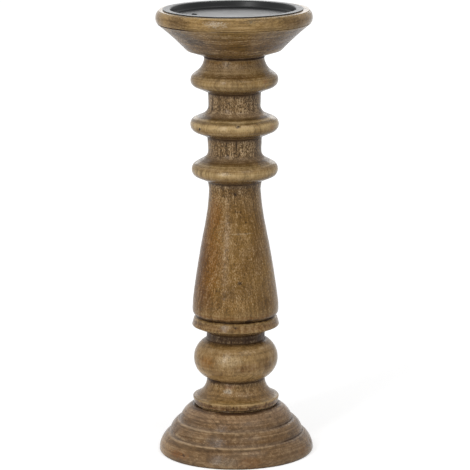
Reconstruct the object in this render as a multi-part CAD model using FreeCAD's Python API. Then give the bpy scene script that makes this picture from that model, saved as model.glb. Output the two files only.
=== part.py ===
import FreeCAD, Part
import math
import os

# A turned wooden stand for a pillar candle, with a loose steel drip pan. Millimetres.
# Origin: the middle of the base's underside. +Z is up and the viewer stands on the -Y side.

# Base, turned from three boards glued side by side
base_radius = 59.8
base_foot_inset = 1.6
base_foot_height = 2.0
base_foot_bow = 0.5
low_step_height = 14.5
low_step_inset = 6.6
low_step_bow = 1.5
low_ledge_width = 1.4
ledge_rise = 0.6
middle_step_height = 9.5
middle_step_inset = 6.2
middle_step_bow = 1.1
middle_ledge_width = 1.6
top_step_height = 11.1
top_step_inset = 9.3
top_step_bow = 1.3
base_edge_inset = 1.3
base_edge_rise = 0.7
base_board_width = 70.0
base_board_angle = -53.3
counterbore_depth = 7.0
counterbore_margin = 2.0
base_web_thickness = 8.0

# Lower stem: collar, ball and ogee foot in one turning
foot_radius = 33.5
foot_band_lean = 0.9
foot_band_height = 4.6
foot_edge_rounding = 0.6
foot_quirk_depth = 1.8
foot_quirk_height = 1.3
foot_lip_inset = 0.8
foot_lip_rise = 0.8
foot_sweep_height = 12.3
foot_sweep_hollow = 2.4
stem_neck_radius = 22.6
ball_groove_depth = 0.4
ball_groove_below = 1.2
ball_groove_above = 0.9
ball_radius = 32.6
ball_height = 30.6
collar_neck_height = 5.7
collar_radius = 33.9
collar_under_rise = 5.0
collar_edge_rounding = 1.1
collar_band_height = 6.1
collar_band_lean = 1.8
collar_top_rounding = 0.6
collar_ledge_rise = 1.5
waist_groove_depth = 4.1
spigot_end_gap = 0.5

# Upper shaft: long taper below three rings
taper_foot_radius = 33.3
taper_foot_height = 4.0
taper_foot_bow = 0.9
taper_belly_height = 2.5
taper_height = 92.0
taper_shoulder_radius = 32.2
taper_shoulder_share = 0.125
taper_middle_radius = 28.5
taper_middle_share = 0.397
taper_upper_radius = 24.9
taper_upper_share = 0.614
taper_throat_radius = 21.3
taper_throat_share = 0.832
taper_top_radius = 19.9
ring_rim_rounding = 6.1
ring_under_angle = 22.8
ring_under_rounding = 1.6
low_ring_rise = 15.2
low_ring_radius = 33.2
low_ring_neck_below = 20.9
low_ring_neck_above = 20.4
low_ring_neck_rounding = 6.0
low_ring_over_angle = 29.0
middle_ring_rise = 34.5
middle_ring_radius = 33.9
middle_ring_neck_below = 21.0
middle_ring_neck_above = 20.0
middle_ring_neck_rounding = 7.0
middle_ring_over_angle = 22.8
high_ring_rise = 34.1
high_ring_radius = 33.6
high_ring_neck_below = 20.4
high_ring_over_angle = 37.0
shaft_flare_rise = 17.4
shaft_flare_rounding = 13.0
shaft_top_radius = 23.1
shaft_spigot_length = 13.0
spigot_radius = 12.5
spigot_chamfer = 1.0

# Hidden dowel between the upper shaft and the lower stem
dowel_radius = 8.0
dowel_length = 60.0
dowel_chamfer = 1.2
dowel_flute_count = 12
dowel_flute_radius = 0.7
glue_gap = 0.1
end_gap = 1.0

# Drip pan of black painted sheet steel, lying a little to the left in its recess
pan_sheet = 0.8
pan_flange_width = 5.4
pan_flange_edge = 0.3
pan_mouth_radius = 47.5
pan_mouth_rounding = 1.2
pan_wall_lean = 1.1
pan_floor_rounding = 2.6
pan_depth = 5.0
pan_shift = 0.7
pan_play = 2.3
pan_floor_gap = 1.6
pan_hole_radius = 1.9
pan_hole_side = 29.5
pan_hole_back = 5.5

# Cup, turned from three boards glued side by side, with a recess for the pan
cup_bottom_overhang = 0.1
cup_bottom_edge = 0.8
cup_knee_radius = 36.2
cup_knee_rise = 4.1
cup_knee_rounding = 2.5
cup_cone_height = 20.5
cup_cone_hollow = 0.45
cup_lip_overhang = 0.4
cup_lip_height = 9.1
cup_lip_bow = 1.6
cup_wall = 7.1
cup_rim_edge = 1.1
cup_rim_rise = 1.0
cup_board_width = 52.0
cup_board_angle = -7.9

# Wood screws and the washer
screw_radius = 2.5
screw_tip_length = 6.0
screw_tip_radius = 0.4
screw_clearance = 0.05
cup_screw_length = 46.0
cup_screw_head_radius = 4.8
cup_screw_head_height = 2.6
base_screw_length = 48.0
base_screw_head_radius = 5.0
base_screw_head_height = 3.2
cross_width = 1.1
cross_span = 5.0
cross_depth = 2.0
washer_radius = 8.0
washer_thickness = 1.6
washer_clearance = 0.3

# Every cutting tool runs past the face that it leaves by this much
overrun = 2.0

# Heights of the base's steps, and the level of each joint above the ground
low_ledge_level = low_step_height + ledge_rise
middle_step_level = low_ledge_level + middle_step_height
middle_ledge_level = middle_step_level + ledge_rise
top_step_level = middle_ledge_level + top_step_height
stem_level = top_step_level + base_edge_rise
base_web_top = counterbore_depth + base_web_thickness
foot_edge_level = stem_level + foot_quirk_height + foot_band_height
foot_lip_level = foot_edge_level + foot_lip_rise
foot_top_level = foot_lip_level + foot_sweep_height
ball_groove_level = foot_top_level + ball_groove_below
ball_bottom_level = ball_groove_level + ball_groove_above
ball_top_level = ball_bottom_level + ball_height
collar_neck_level = ball_top_level + collar_neck_height
collar_edge_level = collar_neck_level + collar_under_rise
collar_top_level = collar_edge_level + collar_band_height
shaft_level = collar_top_level + collar_ledge_rise
taper_foot_level = shaft_level + taper_foot_height
taper_belly_level = taper_foot_level + taper_belly_height
taper_shoulder_level = taper_belly_level + taper_height * taper_shoulder_share
taper_middle_level = taper_belly_level + taper_height * taper_middle_share
taper_upper_level = taper_belly_level + taper_height * taper_upper_share
taper_throat_level = taper_belly_level + taper_height * taper_throat_share
taper_top_level = taper_belly_level + taper_height
low_ring_level = taper_top_level + low_ring_rise
middle_ring_level = low_ring_level + middle_ring_rise
high_ring_level = middle_ring_level + high_ring_rise
cup_level = high_ring_level + shaft_flare_rise
spigot_top_level = cup_level + shaft_spigot_length
cup_edge_level = cup_level + cup_bottom_edge
cup_knee_level = cup_edge_level + cup_knee_rise
cup_lip_level = cup_knee_level + cup_cone_height
cup_rim_level = cup_lip_level + cup_lip_height
rim_level = cup_rim_level + cup_rim_rise
recess_level = rim_level - pan_depth - pan_floor_gap

# Radii that fit or follow one another
waist_radius = collar_radius - waist_groove_depth
recess_radius = pan_mouth_radius + pan_sheet + pan_play
cup_rim_radius = recess_radius + cup_wall
cup_lip_radius = cup_rim_radius + cup_lip_overhang

up = FreeCAD.Vector(0, 0, 1)
axis_foot = FreeCAD.Vector(0, 0, 0)


# Outlines of turned pieces, from the axis at the bottom round to the axis at the top

def corner(radius, height, rounding=0):
    return {"at": FreeCAD.Vector(radius, 0, height), "rounding": rounding}


def bowed(radius, height, bow):
    # The stretch up to this point stands out by the bow, or is hollow where the bow is negative
    return {"at": FreeCAD.Vector(radius, 0, height), "rounding": 0, "bow": bow}


def smooth(radius, height):
    # A run of these points, with the point before it, makes one smooth curve
    return {"at": FreeCAD.Vector(radius, 0, height), "rounding": 0, "smooth": True}


def half_angle(steps, i):
    before = steps[i - 1]["at"] - steps[i]["at"]
    after = steps[i + 1]["at"] - steps[i]["at"]
    return before.getAngle(after) / 2


def corner_reaches(steps):
    # How far each rounding runs along its sides, shortened where a side has no room for it
    reaches = [0] * len(steps)
    for i in range(1, len(steps) - 1):
        if steps[i]["rounding"]:
            reaches[i] = steps[i]["rounding"] / math.tan(half_angle(steps, i))
    for i in range(len(steps) - 1):
        wanted = reaches[i] + reaches[i + 1]
        room = (steps[i + 1]["at"] - steps[i]["at"]).Length
        if wanted > room:
            reaches[i] *= room / wanted
            reaches[i + 1] *= room / wanted
    return reaches


def rounded_corner(steps, i, reach):
    point = steps[i]["at"]
    start = point + (steps[i - 1]["at"] - point).normalize() * reach
    end = point + (steps[i + 1]["at"] - point).normalize() * reach
    radius = reach * math.tan(half_angle(steps, i))
    inward = ((start + end) / 2 - point).normalize()
    middle = point + inward * (radius / math.sin(half_angle(steps, i)) - radius)
    return start, end, Part.Arc(start, middle, end).toShape()


def bowed_edge(start, end, bow):
    along = (end - start).normalize()
    outward = FreeCAD.Vector(along.z, 0, -along.x)
    return Part.Arc(start, (start + end) / 2 + outward * bow, end).toShape()


def smooth_edge(points):
    curve = Part.BSplineCurve()
    curve.interpolate(points)
    return curve.toShape()


def outline_edges(steps):
    edges = []
    reaches = corner_reaches(steps)
    here = steps[0]["at"]
    i = 1
    while i < len(steps):
        if steps[i].get("smooth"):
            points = [here]
            while steps[i].get("smooth"):
                points.append(steps[i]["at"])
                i += 1
            edges.append(smooth_edge(points))
            here = points[-1]
            continue
        target = steps[i]["at"]
        arc = None
        if reaches[i]:
            target, beyond, arc = rounded_corner(steps, i, reaches[i])
        if steps[i].get("bow"):
            edges.append(bowed_edge(here, target, steps[i]["bow"]))
        elif (target - here).Length > Part.Precision.confusion():
            edges.append(Part.LineSegment(here, target).toShape())
        here = target
        if arc:
            edges.append(arc)
            here = beyond
        i += 1
    edges.append(Part.LineSegment(here, steps[0]["at"]).toShape())
    return edges


def turned(steps):
    wire = Part.Wire(outline_edges(steps))
    return Part.Face(wire).revolve(axis_foot, up, 360)


def bore(radius, bottom, top):
    return Part.makeCylinder(radius, top - bottom, FreeCAD.Vector(0, 0, bottom))


def boards(blank, width, angle, radius, bottom, top):
    # Cuts a turned blank along the two glue lines into its front, middle and back boards
    reach = radius + overrun
    height = top - bottom + 2 * overrun
    floor = bottom - overrun
    glue_front = -width / 2
    glue_back = width / 2
    slabs = [
        Part.makeBox(2 * reach, reach + glue_front, height, FreeCAD.Vector(-reach, -reach, floor)),
        Part.makeBox(2 * reach, width, height, FreeCAD.Vector(-reach, glue_front, floor)),
        Part.makeBox(2 * reach, reach - glue_back, height, FreeCAD.Vector(-reach, glue_back, floor)),
    ]
    pieces = []
    for slab in slabs:
        slab.rotate(axis_foot, up, angle)
        pieces.append(blank.common(slab))
    return pieces


# Base

def base_blank():
    low_step_top = base_radius - low_step_inset
    middle_step_foot = low_step_top - low_ledge_width
    middle_step_top = middle_step_foot - middle_step_inset
    top_step_foot = middle_step_top - middle_ledge_width
    top_step_top = top_step_foot - top_step_inset
    return turned([
        corner(0, 0),
        corner(base_radius - base_foot_inset, 0),
        bowed(base_radius, base_foot_height, base_foot_bow),
        bowed(low_step_top, low_step_height, low_step_bow),
        corner(middle_step_foot, low_ledge_level),
        bowed(middle_step_top, middle_step_level, middle_step_bow),
        corner(top_step_foot, middle_ledge_level),
        bowed(top_step_top, top_step_level, top_step_bow),
        corner(top_step_top - base_edge_inset, stem_level),
        corner(0, stem_level),
    ])


def base_boards():
    blank = base_blank()
    blank = blank.cut(bore(washer_radius + counterbore_margin, -overrun, counterbore_depth))
    blank = blank.cut(bore(screw_radius + washer_clearance, 0, stem_level))
    blank = blank.cut(bore(spigot_radius + glue_gap, base_web_top, stem_level + overrun))
    left, middle, right = boards(blank, base_board_width, base_board_angle, base_radius, 0, stem_level)
    return {"base_left_board": left, "base_middle_board": middle, "base_right_board": right}


# Lower stem

def lower_stem():
    spigot_bottom = base_web_top + spigot_end_gap
    foot_lower_radius = foot_radius - foot_band_lean
    foot_quirk_radius = foot_lower_radius - foot_quirk_depth
    quirk_level = stem_level + foot_quirk_height
    stem = turned([
        corner(0, spigot_bottom),
        corner(spigot_radius - spigot_chamfer, spigot_bottom),
        corner(spigot_radius, spigot_bottom + spigot_chamfer),
        corner(spigot_radius, stem_level),
        corner(foot_quirk_radius, stem_level),
        corner(foot_quirk_radius, quirk_level),
        corner(foot_lower_radius, quirk_level),
        corner(foot_radius, foot_edge_level, foot_edge_rounding),
        corner(foot_radius - foot_lip_inset, foot_lip_level),
        bowed(stem_neck_radius, foot_top_level, -foot_sweep_hollow),
        corner(stem_neck_radius - ball_groove_depth, ball_groove_level),
        corner(stem_neck_radius, ball_bottom_level),
        bowed(stem_neck_radius, ball_top_level, ball_radius - stem_neck_radius),
        corner(stem_neck_radius, collar_neck_level, ring_under_rounding),
        corner(collar_radius, collar_edge_level, collar_edge_rounding),
        corner(collar_radius - collar_band_lean, collar_top_level, collar_top_rounding),
        corner(waist_radius, shaft_level),
        corner(0, shaft_level),
    ])
    dowel_bottom = shaft_level - dowel_length / 2
    stem = stem.cut(bore(dowel_radius + glue_gap, dowel_bottom - end_gap, shaft_level + overrun))
    tip_level = counterbore_depth - washer_thickness + base_screw_length
    return stem.cut(bore(screw_radius + screw_clearance, 0, tip_level + end_gap))


# Upper shaft

def ring(middle, radius, neck_below, neck_above, over_angle, neck_rounding):
    # Two sloping flanks that meet in a rounded rim, with a hollow into the neck on either side
    under = math.radians(ring_under_angle)
    over = math.radians(over_angle)
    rim_centre = radius - ring_rim_rounding
    flank_reach = ring_rim_rounding * (1 / math.cos(under) + 1 / math.cos(over))
    apex = rim_centre + flank_reach / (math.tan(under) + math.tan(over))
    apex_height = middle + (apex - rim_centre) * math.tan(under) - ring_rim_rounding / math.cos(under)
    return [
        corner(neck_below, apex_height - (apex - neck_below) * math.tan(under), ring_under_rounding),
        corner(apex, apex_height, ring_rim_rounding),
        corner(neck_above, apex_height + (apex - neck_above) * math.tan(over), neck_rounding),
    ]


def upper_shaft():
    steps = [
        corner(0, shaft_level),
        corner(waist_radius, shaft_level),
        bowed(taper_foot_radius, taper_foot_level, taper_foot_bow),
        smooth(taper_foot_radius, taper_belly_level),
        smooth(taper_shoulder_radius, taper_shoulder_level),
        smooth(taper_middle_radius, taper_middle_level),
        smooth(taper_upper_radius, taper_upper_level),
        smooth(taper_throat_radius, taper_throat_level),
        smooth(taper_top_radius, taper_top_level),
    ]
    steps += ring(low_ring_level, low_ring_radius, low_ring_neck_below,
                  low_ring_neck_above, low_ring_over_angle, low_ring_neck_rounding)
    steps += ring(middle_ring_level, middle_ring_radius, middle_ring_neck_below,
                  middle_ring_neck_above, middle_ring_over_angle, middle_ring_neck_rounding)
    steps += ring(high_ring_level, high_ring_radius, high_ring_neck_below,
                  shaft_top_radius, high_ring_over_angle, shaft_flare_rounding)
    steps += [
        corner(shaft_top_radius, cup_level),
        corner(spigot_radius, cup_level),
        corner(spigot_radius, spigot_top_level - spigot_chamfer),
        corner(spigot_radius - spigot_chamfer, spigot_top_level),
        corner(0, spigot_top_level),
    ]
    shaft = turned(steps)
    dowel_top = shaft_level + dowel_length / 2
    shaft = shaft.cut(bore(dowel_radius + glue_gap, shaft_level - overrun, dowel_top + end_gap))
    pilot_bottom = recess_level - cup_screw_length - end_gap
    return shaft.cut(bore(screw_radius + screw_clearance, pilot_bottom, rim_level))


def shaft_dowel():
    dowel = turned([
        corner(0, 0),
        corner(dowel_radius - dowel_chamfer, 0),
        corner(dowel_radius, dowel_chamfer),
        corner(dowel_radius, dowel_length - dowel_chamfer),
        corner(dowel_radius - dowel_chamfer, dowel_length),
        corner(0, dowel_length),
    ])
    for i in range(dowel_flute_count):
        flute = Part.makeCylinder(dowel_flute_radius, dowel_length + 2 * overrun,
                                  FreeCAD.Vector(dowel_radius, 0, -overrun))
        flute.rotate(axis_foot, up, 360 * i / dowel_flute_count)
        dowel = dowel.cut(flute)
    dowel.translate(up * (shaft_level - dowel_length / 2))
    return dowel


# Cup

def cup_blank():
    return turned([
        corner(0, cup_level),
        corner(shaft_top_radius + cup_bottom_overhang, cup_level),
        corner(shaft_top_radius + cup_bottom_overhang, cup_edge_level),
        corner(cup_knee_radius, cup_knee_level, cup_knee_rounding),
        bowed(cup_lip_radius, cup_lip_level, -cup_cone_hollow),
        bowed(cup_rim_radius, cup_rim_level, cup_lip_bow),
        corner(cup_rim_radius - cup_rim_edge, rim_level),
        corner(0, rim_level),
    ])


def cup_boards():
    hole_radius = screw_radius + screw_clearance
    head_hole = Part.makeCone(hole_radius, cup_screw_head_radius + screw_clearance,
                              cup_screw_head_height, up * (recess_level - cup_screw_head_height))
    blank = cup_blank()
    blank = blank.cut(bore(recess_radius, recess_level, rim_level + overrun))
    blank = blank.cut(bore(spigot_radius + glue_gap, cup_level - overrun, spigot_top_level + end_gap))
    blank = blank.cut(bore(hole_radius, cup_level, rim_level))
    blank = blank.cut(head_hole)
    front, middle, back = boards(blank, cup_board_width, cup_board_angle,
                                 cup_lip_radius + cup_lip_bow, cup_level, rim_level)
    return {"cup_front_board": front, "cup_middle_board": middle, "cup_back_board": back}


# Drip pan

def candle_pan():
    flange_radius = pan_mouth_radius + pan_flange_width
    floor_radius = pan_mouth_radius - pan_wall_lean
    flange_top = rim_level + pan_sheet
    floor_top = flange_top - pan_depth
    floor_under = floor_top - pan_sheet
    pan = turned([
        corner(0, floor_under),
        corner(floor_radius + pan_sheet, floor_under, pan_floor_rounding + pan_sheet),
        corner(pan_mouth_radius + pan_sheet, rim_level),
        corner(flange_radius, rim_level, pan_flange_edge),
        corner(flange_radius, flange_top, pan_flange_edge),
        corner(pan_mouth_radius, flange_top, pan_mouth_rounding),
        corner(floor_radius, floor_top, pan_floor_rounding),
        corner(0, floor_top),
    ])
    hole_foot = FreeCAD.Vector(-pan_hole_side, pan_hole_back, floor_under - overrun)
    pan = pan.cut(Part.makeCylinder(pan_hole_radius, pan_sheet + 2 * overrun, hole_foot))
    pan.translate(FreeCAD.Vector(-pan_shift, 0, 0))
    return pan


# Screws and washer, standing point up, then turned over where they point down

def cross_recess():
    # The cross that the driver turns, cut up into a head whose face lies at zero
    arm = Part.makeBox(cross_span, cross_width, cross_depth + overrun,
                       FreeCAD.Vector(-cross_span / 2, -cross_width / 2, -overrun))
    other = arm.copy()
    other.rotate(axis_foot, up, 90)
    return arm.fuse(other)


def wood_screw(head_steps, length):
    steps = head_steps + [
        corner(screw_radius, length - screw_tip_length),
        corner(screw_tip_radius, length),
        corner(0, length),
    ]
    return turned(steps).cut(cross_recess())


def cup_screw():
    screw = wood_screw([
        corner(0, 0),
        corner(cup_screw_head_radius, 0),
        corner(screw_radius, cup_screw_head_height),
    ], cup_screw_length)
    screw.rotate(axis_foot, FreeCAD.Vector(1, 0, 0), 180)
    screw.translate(up * recess_level)
    return screw


def base_screw():
    screw = wood_screw([
        corner(0, 0),
        corner(base_screw_head_radius, 0, base_screw_head_height / 2),
        corner(base_screw_head_radius, base_screw_head_height),
        corner(screw_radius, base_screw_head_height),
    ], base_screw_head_height + base_screw_length)
    screw.translate(up * (counterbore_depth - washer_thickness - base_screw_head_height))
    return screw


def base_washer():
    washer = bore(washer_radius, counterbore_depth - washer_thickness, counterbore_depth)
    return washer.cut(bore(screw_radius + washer_clearance, 0, counterbore_depth))


nodes = {}
nodes.update(base_boards())
nodes["lower_stem"] = lower_stem()
nodes["upper_shaft"] = upper_shaft()
nodes["shaft_dowel"] = shaft_dowel()
nodes.update(cup_boards())
nodes["candle_pan"] = candle_pan()
nodes["cup_screw"] = cup_screw()
nodes["base_screw"] = base_screw()
nodes["base_washer"] = base_washer()

os.makedirs("parts", exist_ok=True)
for name, shape in nodes.items():
    shape.exportStep("parts/" + name + ".step")
    print(name, "valid" if shape.isValid() else "not valid", len(shape.Solids), "solid",
          round(shape.Volume), "mm3")
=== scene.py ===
import math

import bpy
import numpy as np
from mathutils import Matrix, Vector


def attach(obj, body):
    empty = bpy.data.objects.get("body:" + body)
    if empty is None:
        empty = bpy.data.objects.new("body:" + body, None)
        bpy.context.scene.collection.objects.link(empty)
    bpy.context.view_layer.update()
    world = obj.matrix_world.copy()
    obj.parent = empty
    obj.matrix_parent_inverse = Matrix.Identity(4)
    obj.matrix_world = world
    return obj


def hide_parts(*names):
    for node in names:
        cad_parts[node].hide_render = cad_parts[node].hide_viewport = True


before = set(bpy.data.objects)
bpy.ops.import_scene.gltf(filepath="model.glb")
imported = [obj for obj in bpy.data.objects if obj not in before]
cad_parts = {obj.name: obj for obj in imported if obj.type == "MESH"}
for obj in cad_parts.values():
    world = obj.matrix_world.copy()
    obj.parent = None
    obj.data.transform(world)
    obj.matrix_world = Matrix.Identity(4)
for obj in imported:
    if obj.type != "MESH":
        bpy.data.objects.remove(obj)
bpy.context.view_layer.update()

# The tables are in millimetres and degrees, the scene is in metres
mm = 0.001
weldReach = 0.002 * mm
leastStep = 0.001
sharpAngle = math.radians(32)


# Picking, naming and edit mode

def deselectAll():
    if bpy.context.object and bpy.context.object.mode != "OBJECT":
        leaveEdit()
    bpy.ops.object.select_all(action="DESELECT")


def pickOnly(piece):
    deselectAll()
    piece.select_set(True)
    bpy.context.view_layer.objects.active = piece


def nameBoth(piece, name):
    piece.name = piece.data.name = name


def addToScene(thing):
    bpy.context.scene.collection.objects.link(thing)


def editAll():
    enterEdit()
    bpy.ops.mesh.select_all(action="SELECT")


def enterEdit():
    bpy.ops.object.mode_set(mode="EDIT")


def leaveEdit():
    bpy.ops.object.mode_set(mode="OBJECT")


def pointVectors(mesh, field="co"):
    values = np.empty(len(mesh.vertices) * 3)
    mesh.vertices.foreach_get(field, values)
    return values.reshape(-1, 3)


def pickPoint(piece, place):
    # Selects the one point that lies nearest to a place, and goes to edit mode
    nearest = int(np.argmin(((pointVectors(piece.data) - np.array(place)) ** 2).sum(axis=1)))
    pickOnly(piece)
    enterEdit()
    bpy.ops.mesh.select_mode(type="VERT")
    bpy.ops.mesh.select_all(action="DESELECT")
    leaveEdit()
    piece.data.vertices[nearest].select = True
    normal = piece.data.vertices[nearest].normal.copy()
    enterEdit()
    return normal


def applyModifier(piece, kind, **settings):
    pickOnly(piece)
    bpy.ops.object.modifier_add(type=kind)
    modifier = piece.modifiers[-1]
    for name, value in settings.items():
        setattr(modifier, name, value)
    bpy.ops.object.modifier_apply(modifier=modifier.name)


# Outlines of turned pieces. A step is (radius, height), and a word may shape it: "round" rounds its
# corner, "bow" swells or hollows the stretch up to it, "flow" belongs to one smooth run, and "plain"
# ends a hidden stretch that needs no rows.

def straightRun(start, end, spacing):
    count = max(1, math.ceil((end - start).length / spacing))
    return [start.lerp(end, (i + 1) / count) for i in range(count)]


def bowedRun(start, end, bow, spacing):
    along = (end - start).normalized()
    outward = Vector((along.z, 0, -along.x))
    half = (end - start).length / 2
    radius = (half * half + bow * bow) / (2 * bow)
    reach = 2 * math.atan(bow / half)
    count = max(2, math.ceil(2 * radius * reach / spacing))
    middle = (start + end) / 2
    run = []
    for i in range(1, count + 1):
        turn = reach * (2 * i / count - 1)
        run.append(middle + along * radius * math.sin(turn)
                   + outward * radius * (math.cos(turn) - math.cos(reach)))
    return run


def cornerRun(corner, before, after, reach, spacing):
    toBefore = (before - corner).normalized()
    toAfter = (after - corner).normalized()
    half = toBefore.angle(toAfter) / 2
    radius = reach * math.tan(half)
    centre = corner + (toBefore + toAfter).normalized() * (radius / math.sin(half))
    first = corner + toBefore * reach - centre
    last = corner + toAfter * reach - centre
    sweep = first.angle(last)
    side = (last - first * math.cos(sweep)) / math.sin(sweep)
    count = max(4, math.ceil(radius * sweep / spacing))
    return [centre + first * math.cos(sweep * i / count) + side * math.sin(sweep * i / count)
            for i in range(1, count + 1)]


def flowingRun(pins, spacing):
    # A natural cubic curve, as a thin lath takes round pins
    at = np.array([list(pin) for pin in pins])
    gaps = np.linalg.norm(np.diff(at, axis=0), axis=1)
    bends = np.zeros(at.shape)
    system = np.eye(len(at))
    for i in range(1, len(at) - 1):
        system[i, i - 1:i + 2] = [gaps[i - 1], 2 * (gaps[i - 1] + gaps[i]), gaps[i]]
        bends[i] = 6 * ((at[i + 1] - at[i]) / gaps[i] - (at[i] - at[i - 1]) / gaps[i - 1])
    bends = np.linalg.solve(system, bends)
    run = []
    for i, gap in enumerate(gaps):
        count = math.ceil(gap / spacing)
        for j in range(1, count + 1):
            late = gap * j / count
            early = gap - late
            place = (bends[i] * early ** 3 + bends[i + 1] * late ** 3) / (6 * gap)
            place += (at[i] / gap - bends[i] * gap / 6) * early
            place += (at[i + 1] / gap - bends[i + 1] * gap / 6) * late
            run.append(Vector(place))
    return run


def cornerReaches(at, word, amount):
    reach = [0] * len(at)
    for i in range(1, len(at) - 1):
        if word[i] == "round":
            reach[i] = amount[i] / math.tan((at[i - 1] - at[i]).angle(at[i + 1] - at[i]) / 2)
    for i in range(len(at) - 1):
        wanted = reach[i] + reach[i + 1]
        room = (at[i + 1] - at[i]).length
        if wanted > room:
            reach[i] *= room / wanted
            reach[i + 1] *= room / wanted
    return reach


def outlinePoints(steps, spacing):
    at = [Vector((step[0], 0, step[1])) for step in steps]
    word = [step[2] if len(step) > 2 else "" for step in steps] + [""]
    amount = [step[3] if len(step) > 3 else 0 for step in steps]
    reach = cornerReaches(at, word, amount)
    points = [at[0]]
    pins = []
    for i in range(1, len(steps)):
        if word[i] == "flow":
            pins = pins or [points[-1]]
            pins.append(at[i])
            if word[i + 1] != "flow":
                points += flowingRun(pins, spacing)
                pins = []
            continue
        target = at[i]
        if reach[i]:
            target = at[i] + (at[i - 1] - at[i]).normalized() * reach[i]
        if word[i] == "bow":
            points += bowedRun(points[-1], target, amount[i], spacing)
        elif word[i] == "plain":
            points.append(target)
        elif (target - points[-1]).length > leastStep:
            points += straightRun(points[-1], target, spacing)
        if reach[i]:
            points += cornerRun(at[i], at[i - 1], at[i + 1], reach[i], spacing)
    return [point * mm for point in points]


# Turning on the lathe

def turnPiece(name, shape):
    points = outlinePoints(shape["outline"], shape["rowSpacing"])
    if points[0].x > 0:
        points.append(points[0])
    deselectAll()
    bpy.ops.mesh.primitive_plane_add(size=mm)
    piece = bpy.context.object
    nameBoth(piece, name)
    enterEdit()
    bpy.ops.mesh.merge(type="CENTER")
    bpy.ops.transform.translate(value=points[0])
    for here, there in zip(points, points[1:]):
        bpy.ops.mesh.extrude_vertices_move(TRANSFORM_OT_translate={"value": there - here})
    bpy.ops.mesh.select_all(action="SELECT")
    bpy.ops.mesh.remove_doubles(threshold=weldReach)
    leaveEdit()
    applyModifier(piece, "SCREW", steps=shape["turnSteps"], render_steps=shape["turnSteps"],
                  use_merge_vertices=True, merge_threshold=weldReach)
    editAll()
    bpy.ops.mesh.remove_doubles(threshold=weldReach)
    bpy.ops.mesh.normals_make_consistent(inside=False)
    leaveEdit()
    return piece


def wearIn(piece, shape):
    # The gouge's ripples and the sanding, always inwards, on the faces that show. Each wave is
    # (size, how flat it is squeezed, depth, seed).
    places = pointVectors(piece.data)
    radius = np.hypot(places[:, 0], places[:, 1])
    low, high = shape["shownHeights"]
    shown = (radius > shape["shownFrom"] * mm) & (places[:, 2] > low * mm) & (places[:, 2] < high * mm)
    group = piece.vertex_groups.new(name="shown")
    group.add([int(i) for i in np.nonzero(shown)[0]], 1, "REPLACE")
    for size, flat, depth, seed in shape["waves"]:
        texture = bpy.data.textures.new("wave", "CLOUDS")
        texture.noise_scale = size * mm
        texture.noise_depth = 1
        stretch = bpy.data.objects.new("wave", None)
        stretch.scale = (1, 1, flat)
        stretch.location = (seed, seed / 2, seed / 3)
        addToScene(stretch)
        bpy.context.view_layer.update()
        applyModifier(piece, "DISPLACE", texture=texture, texture_coords="OBJECT",
                      texture_coords_object=stretch, vertex_group="shown", strength=depth * mm,
                      mid_level=1)
        bpy.data.objects.remove(stretch)
        bpy.data.textures.remove(texture)
    print("  wore in", piece.name, int(shown.sum()), "points")


def onPiece(azimuth, height, radius):
    # A place from its azimuth off the front, its height and its radius
    turn = math.radians(azimuth)
    return Vector((radius * math.sin(turn), -radius * math.cos(turn), height)) * mm


def pressDents(piece, dents):
    # Each dent is a place as onPiece takes it, its reach and its depth
    for *place, reach, depth in dents:
        normal = pickPoint(piece, onPiece(*place))
        bpy.ops.transform.translate(value=normal * (-depth * mm), use_proportional_edit=True,
                                    proportional_edit_falloff="SMOOTH", proportional_size=reach * mm)
        leaveEdit()


def keepMark(mesh, name, values):
    mark = mesh.attributes.new(name, "FLOAT", "POINT")
    mark.data.foreach_set("value", values.astype(np.float32))


def markWear(piece, passes):
    # How much each point stands out or lies in a hollow, for the edge wear, and for the dark creases, where
    # stain collects and shade is painted
    mesh = piece.data
    places = pointVectors(mesh)
    normals = pointVectors(mesh, "normal")
    ends = np.empty(len(mesh.edges) * 2, dtype=int)
    mesh.edges.foreach_get("vertices", ends)
    first, second = ends.reshape(-1, 2).T
    gaps = places[second] - places[first]
    squares = np.maximum((gaps ** 2).sum(axis=1), 1e-12)
    size = len(places)
    touching = np.bincount(first, minlength=size) + np.bincount(second, minlength=size)
    bends = np.bincount(first, (gaps * normals[first]).sum(axis=1) / squares, size)
    bends -= np.bincount(second, (gaps * normals[second]).sum(axis=1) / squares, size)
    bends /= touching
    for name, count in passes.items():
        smooth = bends.copy()
        for _ in range(count):
            around = np.bincount(first, smooth[second], size) + np.bincount(second, smooth[first], size)
            smooth = (smooth + around / touching) / 2
        keepMark(mesh, name, smooth * mm)


def markLines(piece, name, lines):
    # Soft lines round the piece, each (radius, height, reach, amount). Two more numbers keep a line
    # to one side: its azimuth off the front and its half spread.
    places = pointVectors(piece.data) / mm
    radius = np.hypot(places[:, 0], places[:, 1])
    azimuth = np.degrees(np.arctan2(places[:, 0], -places[:, 1]))
    total = np.zeros(len(places))
    for lineRadius, height, reach, amount, *side in lines:
        near = amount * np.clip(1 - np.hypot(radius - lineRadius, places[:, 2] - height) / reach, 0, 1)
        if side:
            turn = np.abs((azimuth - side[0] + 180) % 360 - 180) / side[1]
            near *= np.clip(2 - 2 * turn, 0, 1)
        total = np.maximum(total, near)
    keepMark(piece.data, name, total)


def finishPiece(piece, material, node, body="stand"):
    pickOnly(piece)
    bpy.ops.object.shade_smooth_by_angle(angle=sharpAngle)
    applyModifier(piece, "WEIGHTED_NORMAL", keep_sharp=True)
    dress(piece, material)
    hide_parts(node)
    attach(piece, body)


def boardsAcross(angle):
    turn = math.radians(angle)
    return Vector((-math.sin(turn), math.cos(turn), 0))


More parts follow.
